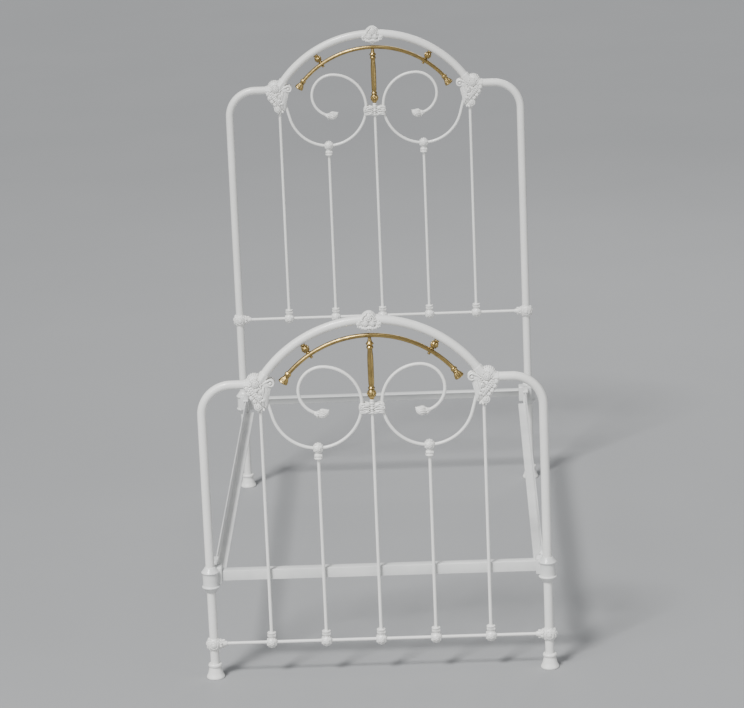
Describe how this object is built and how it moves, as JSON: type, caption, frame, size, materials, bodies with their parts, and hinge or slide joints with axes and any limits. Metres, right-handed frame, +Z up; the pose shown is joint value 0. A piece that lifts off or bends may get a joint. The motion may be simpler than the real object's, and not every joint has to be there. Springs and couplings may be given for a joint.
{
  "type": "metal bed frame",
  "caption": "Metal bed frame with an arched headboard and footboard, scrolled rods, brass trim, and side rails that lift out of sockets at the corners.",
  "frame": {"origin": "on the floor, at the middle of the rectangle that the four legs stand on", "axes": "+Z up; +Y along the bed from the footboard to the headboard; +X to the right as seen from the foot of the bed"},
  "size_m": [1.107, 2.027, 1.7153],
  "materials": {
    "white_paint": "semi-gloss",
    "antique_brass": "aged satin"
  },
  "bodies": {
    "bed_ends": {"foot_post_left": "white_paint", "foot_post_right": "white_paint", "foot_arch_tube": "white_paint", "foot_crown_casting": "white_paint", "foot_shoulder_casting_left": "white_paint", "foot_shoulder_casting_right": "white_paint", "foot_brass_rail": "antique_brass", "foot_brass_rail_cap_left": "antique_brass", "foot_brass_rail_cap_right": "antique_brass", "foot_brass_knob_left": "antique_brass", "foot_brass_knob_right": "antique_brass", "foot_brass_spindle": "antique_brass", "foot_centre_clasp": "white_paint", "foot_scroll_left": "white_paint", "foot_scroll_right": "white_paint", "foot_spindle_1": "white_paint", "foot_spindle_2": "white_paint", "foot_spindle_3": "white_paint", "foot_spindle_4": "white_paint", "foot_spindle_5": "white_paint", "foot_crossbar": "white_paint", "foot_cross_angle": "white_paint", "foot_corner_casting_left": "white_paint", "foot_corner_casting_right": "white_paint", "foot_leg_cup_left": "white_paint", "foot_leg_cup_right": "white_paint", "head_post_left": "white_paint", "head_post_right": "white_paint", "head_arch_tube": "white_paint", "head_crown_casting": "white_paint", "head_shoulder_casting_left": "white_paint", "head_shoulder_casting_right": "white_paint", "head_brass_rail": "antique_brass", "head_brass_rail_cap_left": "antique_brass", "head_brass_rail_cap_right": "antique_brass", "head_brass_knob_left": "antique_brass", "head_brass_knob_right": "antique_brass", "head_brass_spindle": "antique_brass", "head_centre_clasp": "white_paint", "head_scroll_left": "white_paint", "head_scroll_right": "white_paint", "head_spindle_1": "white_paint", "head_spindle_2": "white_paint", "head_spindle_3": "white_paint", "head_spindle_4": "white_paint", "head_spindle_5": "white_paint", "head_crossbar": "white_paint", "head_cross_angle": "white_paint", "head_corner_casting_left": "white_paint", "head_corner_casting_right": "white_paint", "head_leg_cup_left": "white_paint", "head_leg_cup_right": "white_paint"},
    "left_rail": {"side_rail_left": "white_paint", "foot_rail_end_left": "white_paint", "head_rail_end_left": "white_paint"},
    "right_rail": {"side_rail_right": "white_paint", "foot_rail_end_right": "white_paint", "head_rail_end_right": "white_paint"}
  },
  "joints": [
    {"name": "left_rail_lift", "type": "slide", "parent": "bed_ends", "child": "left_rail", "axis": [0, 0, 1], "range_m": [0, 0.06]},
    {"name": "right_rail_lift", "type": "slide", "parent": "bed_ends", "child": "right_rail", "axis": [0, 0, 1], "range_m": [0, 0.06]}
  ]
}
